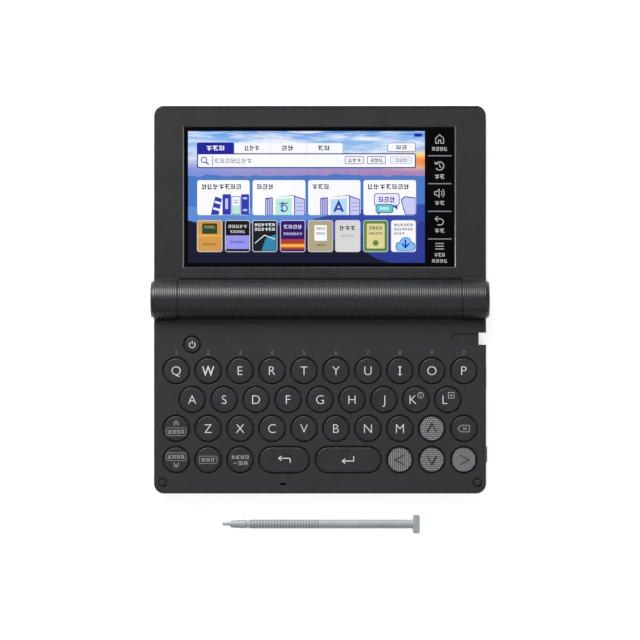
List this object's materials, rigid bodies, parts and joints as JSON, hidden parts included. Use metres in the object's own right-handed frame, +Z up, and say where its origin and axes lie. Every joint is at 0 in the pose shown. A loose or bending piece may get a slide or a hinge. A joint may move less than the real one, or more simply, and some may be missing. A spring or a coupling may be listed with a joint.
{
  "type": "personal digital assistant",
  "caption": "Clamshell pocket dictionary laid open flat: touch screen lid, round keys, battery barrel hinge and a loose stylus lying in front.",
  "frame": {"origin": "on the desk, under the middle of the open device with its stylus", "axes": "+X to the right along the hinge, +Y from the keys towards the screen, +Z up out of the keys"},
  "size_m": [0.1346, 0.1704, 0.0165],
  "materials": {
    "deck_plastic": "fine moulded grain, charcoal grey",
    "case_plastic": "fine moulded grain, charcoal grey",
    "lid_plastic": "fine moulded grain, charcoal grey",
    "barrel_plastic": "fine turned ribs, satin black",
    "key_plastic": "satin with light printed legends",
    "screen_glass": "clear cover over a lit display",
    "lcd_frame": "pressed tray with a lit panel",
    "stylus_plastic": "satin silver grey",
    "foot_rubber": "soft black",
    "membrane_rubber": "moulded grey silicone",
    "circuit_board": "green solder mask",
    "speaker_can": "black can",
    "plated_steel": "bright plated",
    "screw_steel": "dark zinc",
    "pin_steel": "ground steel",
    "jack_plastic": "black",
    "cell_jacket": "plain jacket",
    "ribbon": "amber film"
  },
  "bodies": {
    "base": {"bottom_case": "case_plastic", "key_deck": "deck_plastic", "battery_barrel": "barrel_plastic", "aa_cells": "cell_jacket", "battery_contacts": "plated_steel", "key_membrane": "membrane_rubber", "main_board": "circuit_board", "speaker": "speaker_can", "lid_bumpers": "foot_rubber", "rubber_feet": "foot_rubber", "case_screws": "screw_steel", "usb_socket": "plated_steel", "earphone_jack": "jack_plastic", "hinge_pins": "pin_steel"},
    "lid": {"lid_back_cover": "lid_plastic", "display_bezel": "deck_plastic", "touch_panel": "screen_glass", "lcd_module": "lcd_frame", "hinge_end_caps": "barrel_plastic", "display_cable": "ribbon"},
    "stylus": {"stylus": "stylus_plastic"},
    "battery_door": {"battery_door": "case_plastic"},
    "key_q": {"key_q": "key_plastic"},
    "key_w": {"key_w": "key_plastic"},
    "key_e": {"key_e": "key_plastic"},
    "key_r": {"key_r": "key_plastic"},
    "key_t": {"key_t": "key_plastic"},
    "key_y": {"key_y": "key_plastic"},
    "key_u": {"key_u": "key_plastic"},
    "key_i": {"key_i": "key_plastic"},
    "key_o": {"key_o": "key_plastic"},
    "key_p": {"key_p": "key_plastic"},
    "key_a": {"key_a": "key_plastic"},
    "key_s": {"key_s": "key_plastic"},
    "key_d": {"key_d": "key_plastic"},
    "key_f": {"key_f": "key_plastic"},
    "key_g": {"key_g": "key_plastic"},
    "key_h": {"key_h": "key_plastic"},
    "key_j": {"key_j": "key_plastic"},
    "key_k": {"key_k": "key_plastic"},
    "key_l": {"key_l": "key_plastic"},
    "key_previous": {"key_previous": "key_plastic"},
    "key_z": {"key_z": "key_plastic"},
    "key_x": {"key_x": "key_plastic"},
    "key_c": {"key_c": "key_plastic"},
    "key_v": {"key_v": "key_plastic"},
    "key_b": {"key_b": "key_plastic"},
    "key_n": {"key_n": "key_plastic"},
    "key_m": {"key_m": "key_plastic"},
    "key_up": {"key_up": "key_plastic"},
    "key_delete": {"key_delete": "key_plastic"},
    "key_next": {"key_next": "key_plastic"},
    "key_shift": {"key_shift": "key_plastic"},
    "key_space": {"key_space": "key_plastic"},
    "key_back": {"key_back": "key_plastic"},
    "key_enter": {"key_enter": "key_plastic"},
    "key_left": {"key_left": "key_plastic"},
    "key_down": {"key_down": "key_plastic"},
    "key_right": {"key_right": "key_plastic"},
    "key_power": {"key_power": "key_plastic"}
  },
  "joints": [
    {"name": "lid_hinge", "type": "hinge", "parent": "base", "child": "lid", "pos_m": [0, 0.008, 0.0085], "axis": [1, 0, 0], "range_deg": [0, 180]},
    {"name": "stylus_lift", "type": "slide", "parent": "base", "child": "stylus", "axis": [0, 0, 1], "range_m": [0, 0.06]},
    {"name": "battery_door_slide", "type": "slide", "parent": "base", "child": "battery_door", "axis": [1, 0, 0], "range_m": [0, 0.003]},
    {"name": "key_q_press", "type": "slide", "parent": "base", "child": "key_q", "axis": [0, 0, -1], "range_m": [0, 0.001], "stiffness_N_per_m": 400, "springref_m": -0.0005},
    {"name": "key_w_press", "type": "slide", "parent": "base", "child": "key_w", "axis": [0, 0, -1], "range_m": [0, 0.001], "stiffness_N_per_m": 400, "springref_m": -0.0005},
    {"name": "key_e_press", "type": "slide", "parent": "base", "child": "key_e", "axis": [0, 0, -1], "range_m": [0, 0.001], "stiffness_N_per_m": 400, "springref_m": -0.0005},
    {"name": "key_r_press", "type": "slide", "parent": "base", "child": "key_r", "axis": [0, 0, -1], "range_m": [0, 0.001], "stiffness_N_per_m": 400, "springref_m": -0.0005},
    {"name": "key_t_press", "type": "slide", "parent": "base", "child": "key_t", "axis": [0, 0, -1], "range_m": [0, 0.001], "stiffness_N_per_m": 400, "springref_m": -0.0005},
    {"name": "key_y_press", "type": "slide", "parent": "base", "child": "key_y", "axis": [0, 0, -1], "range_m": [0, 0.001], "stiffness_N_per_m": 400, "springref_m": -0.0005},
    {"name": "key_u_press", "type": "slide", "parent": "base", "child": "key_u", "axis": [0, 0, -1], "range_m": [0, 0.001], "stiffness_N_per_m": 400, "springref_m": -0.0005},
    {"name": "key_i_press", "type": "slide", "parent": "base", "child": "key_i", "axis": [0, 0, -1], "range_m": [0, 0.001], "stiffness_N_per_m": 400, "springref_m": -0.0005},
    {"name": "key_o_press", "type": "slide", "parent": "base", "child": "key_o", "axis": [0, 0, -1], "range_m": [0, 0.001], "stiffness_N_per_m": 400, "springref_m": -0.0005},
    {"name": "key_p_press", "type": "slide", "parent": "base", "child": "key_p", "axis": [0, 0, -1], "range_m": [0, 0.001], "stiffness_N_per_m": 400, "springref_m": -0.0005},
    {"name": "key_a_press", "type": "slide", "parent": "base", "child": "key_a", "axis": [0, 0, -1], "range_m": [0, 0.001], "stiffness_N_per_m": 400, "springref_m": -0.0005},
    {"name": "key_s_press", "type": "slide", "parent": "base", "child": "key_s", "axis": [0, 0, -1], "range_m": [0, 0.001], "stiffness_N_per_m": 400, "springref_m": -0.0005},
    {"name": "key_d_press", "type": "slide", "parent": "base", "child": "key_d", "axis": [0, 0, -1], "range_m": [0, 0.001], "stiffness_N_per_m": 400, "springref_m": -0.0005},
    {"name": "key_f_press", "type": "slide", "parent": "base", "child": "key_f", "axis": [0, 0, -1], "range_m": [0, 0.001], "stiffness_N_per_m": 400, "springref_m": -0.0005},
    {"name": "key_g_press", "type": "slide", "parent": "base", "child": "key_g", "axis": [0, 0, -1], "range_m": [0, 0.001], "stiffness_N_per_m": 400, "springref_m": -0.0005},
    {"name": "key_h_press", "type": "slide", "parent": "base", "child": "key_h", "axis": [0, 0, -1], "range_m": [0, 0.001], "stiffness_N_per_m": 400, "springref_m": -0.0005},
    {"name": "key_j_press", "type": "slide", "parent": "base", "child": "key_j", "axis": [0, 0, -1], "range_m": [0, 0.001], "stiffness_N_per_m": 400, "springref_m": -0.0005},
    {"name": "key_k_press", "type": "slide", "parent": "base", "child": "key_k", "axis": [0, 0, -1], "range_m": [0, 0.001], "stiffness_N_per_m": 400, "springref_m": -0.0005},
    {"name": "key_l_press", "type": "slide", "parent": "base", "child": "key_l", "axis": [0, 0, -1], "range_m": [0, 0.001], "stiffness_N_per_m": 400, "springref_m": -0.0005},
    {"name": "key_previous_press", "type": "slide", "parent": "base", "child": "key_previous", "axis": [0, 0, -1], "range_m": [0, 0.001], "stiffness_N_per_m": 400, "springref_m": -0.0005},
    {"name": "key_z_press", "type": "slide", "parent": "base", "child": "key_z", "axis": [0, 0, -1], "range_m": [0, 0.001], "stiffness_N_per_m": 400, "springref_m": -0.0005},
    {"name": "key_x_press", "type": "slide", "parent": "base", "child": "key_x", "axis": [0, 0, -1], "range_m": [0, 0.001], "stiffness_N_per_m": 400, "springref_m": -0.0005},
    {"name": "key_c_press", "type": "slide", "parent": "base", "child": "key_c", "axis": [0, 0, -1], "range_m": [0, 0.001], "stiffness_N_per_m": 400, "springref_m": -0.0005},
    {"name": "key_v_press", "type": "slide", "parent": "base", "child": "key_v", "axis": [0, 0, -1], "range_m": [0, 0.001], "stiffness_N_per_m": 400, "springref_m": -0.0005},
    {"name": "key_b_press", "type": "slide", "parent": "base", "child": "key_b", "axis": [0, 0, -1], "range_m": [0, 0.001], "stiffness_N_per_m": 400, "springref_m": -0.0005},
    {"name": "key_n_press", "type": "slide", "parent": "base", "child": "key_n", "axis": [0, 0, -1], "range_m": [0, 0.001], "stiffness_N_per_m": 400, "springref_m": -0.0005},
    {"name": "key_m_press", "type": "slide", "parent": "base", "child": "key_m", "axis": [0, 0, -1], "range_m": [0, 0.001], "stiffness_N_per_m": 400, "springref_m": -0.0005},
    {"name": "key_up_press", "type": "slide", "parent": "base", "child": "key_up", "axis": [0, 0, -1], "range_m": [0, 0.001], "stiffness_N_per_m": 400, "springref_m": -0.0005},
    {"name": "key_delete_press", "type": "slide", "parent": "base", "child": "key_delete", "axis": [0, 0, -1], "range_m": [0, 0.001], "stiffness_N_per_m": 400, "springref_m": -0.0005},
    {"name": "key_next_press", "type": "slide", "parent": "base", "child": "key_next", "axis": [0, 0, -1], "range_m": [0, 0.001], "stiffness_N_per_m": 400, "springref_m": -0.0005},
    {"name": "key_shift_press", "type": "slide", "parent": "base", "child": "key_shift", "axis": [0, 0, -1], "range_m": [0, 0.001], "stiffness_N_per_m": 400, "springref_m": -0.0005},
    {"name": "key_space_press", "type": "slide", "parent": "base", "child": "key_space", "axis": [0, 0, -1], "range_m": [0, 0.001], "stiffness_N_per_m": 400, "springref_m": -0.0005},
    {"name": "key_back_press", "type": "slide", "parent": "base", "child": "key_back", "axis": [0, 0, -1], "range_m": [0, 0.001], "stiffness_N_per_m": 400, "springref_m": -0.0005},
    {"name": "key_enter_press", "type": "slide", "parent": "base", "child": "key_enter", "axis": [0, 0, -1], "range_m": [0, 0.001], "stiffness_N_per_m": 400, "springref_m": -0.0005},
    {"name": "key_left_press", "type": "slide", "parent": "base", "child": "key_left", "axis": [0, 0, -1], "range_m": [0, 0.001], "stiffness_N_per_m": 400, "springref_m": -0.0005},
    {"name": "key_down_press", "type": "slide", "parent": "base", "child": "key_down", "axis": [0, 0, -1], "range_m": [0, 0.001], "stiffness_N_per_m": 400, "springref_m": -0.0005},
    {"name": "key_right_press", "type": "slide", "parent": "base", "child": "key_right", "axis": [0, 0, -1], "range_m": [0, 0.001], "stiffness_N_per_m": 400, "springref_m": -0.0005},
    {"name": "key_power_press", "type": "slide", "parent": "base", "child": "key_power", "axis": [0, 0, -1], "range_m": [0, 0.001], "stiffness_N_per_m": 400, "springref_m": -0.0005}
  ]
}
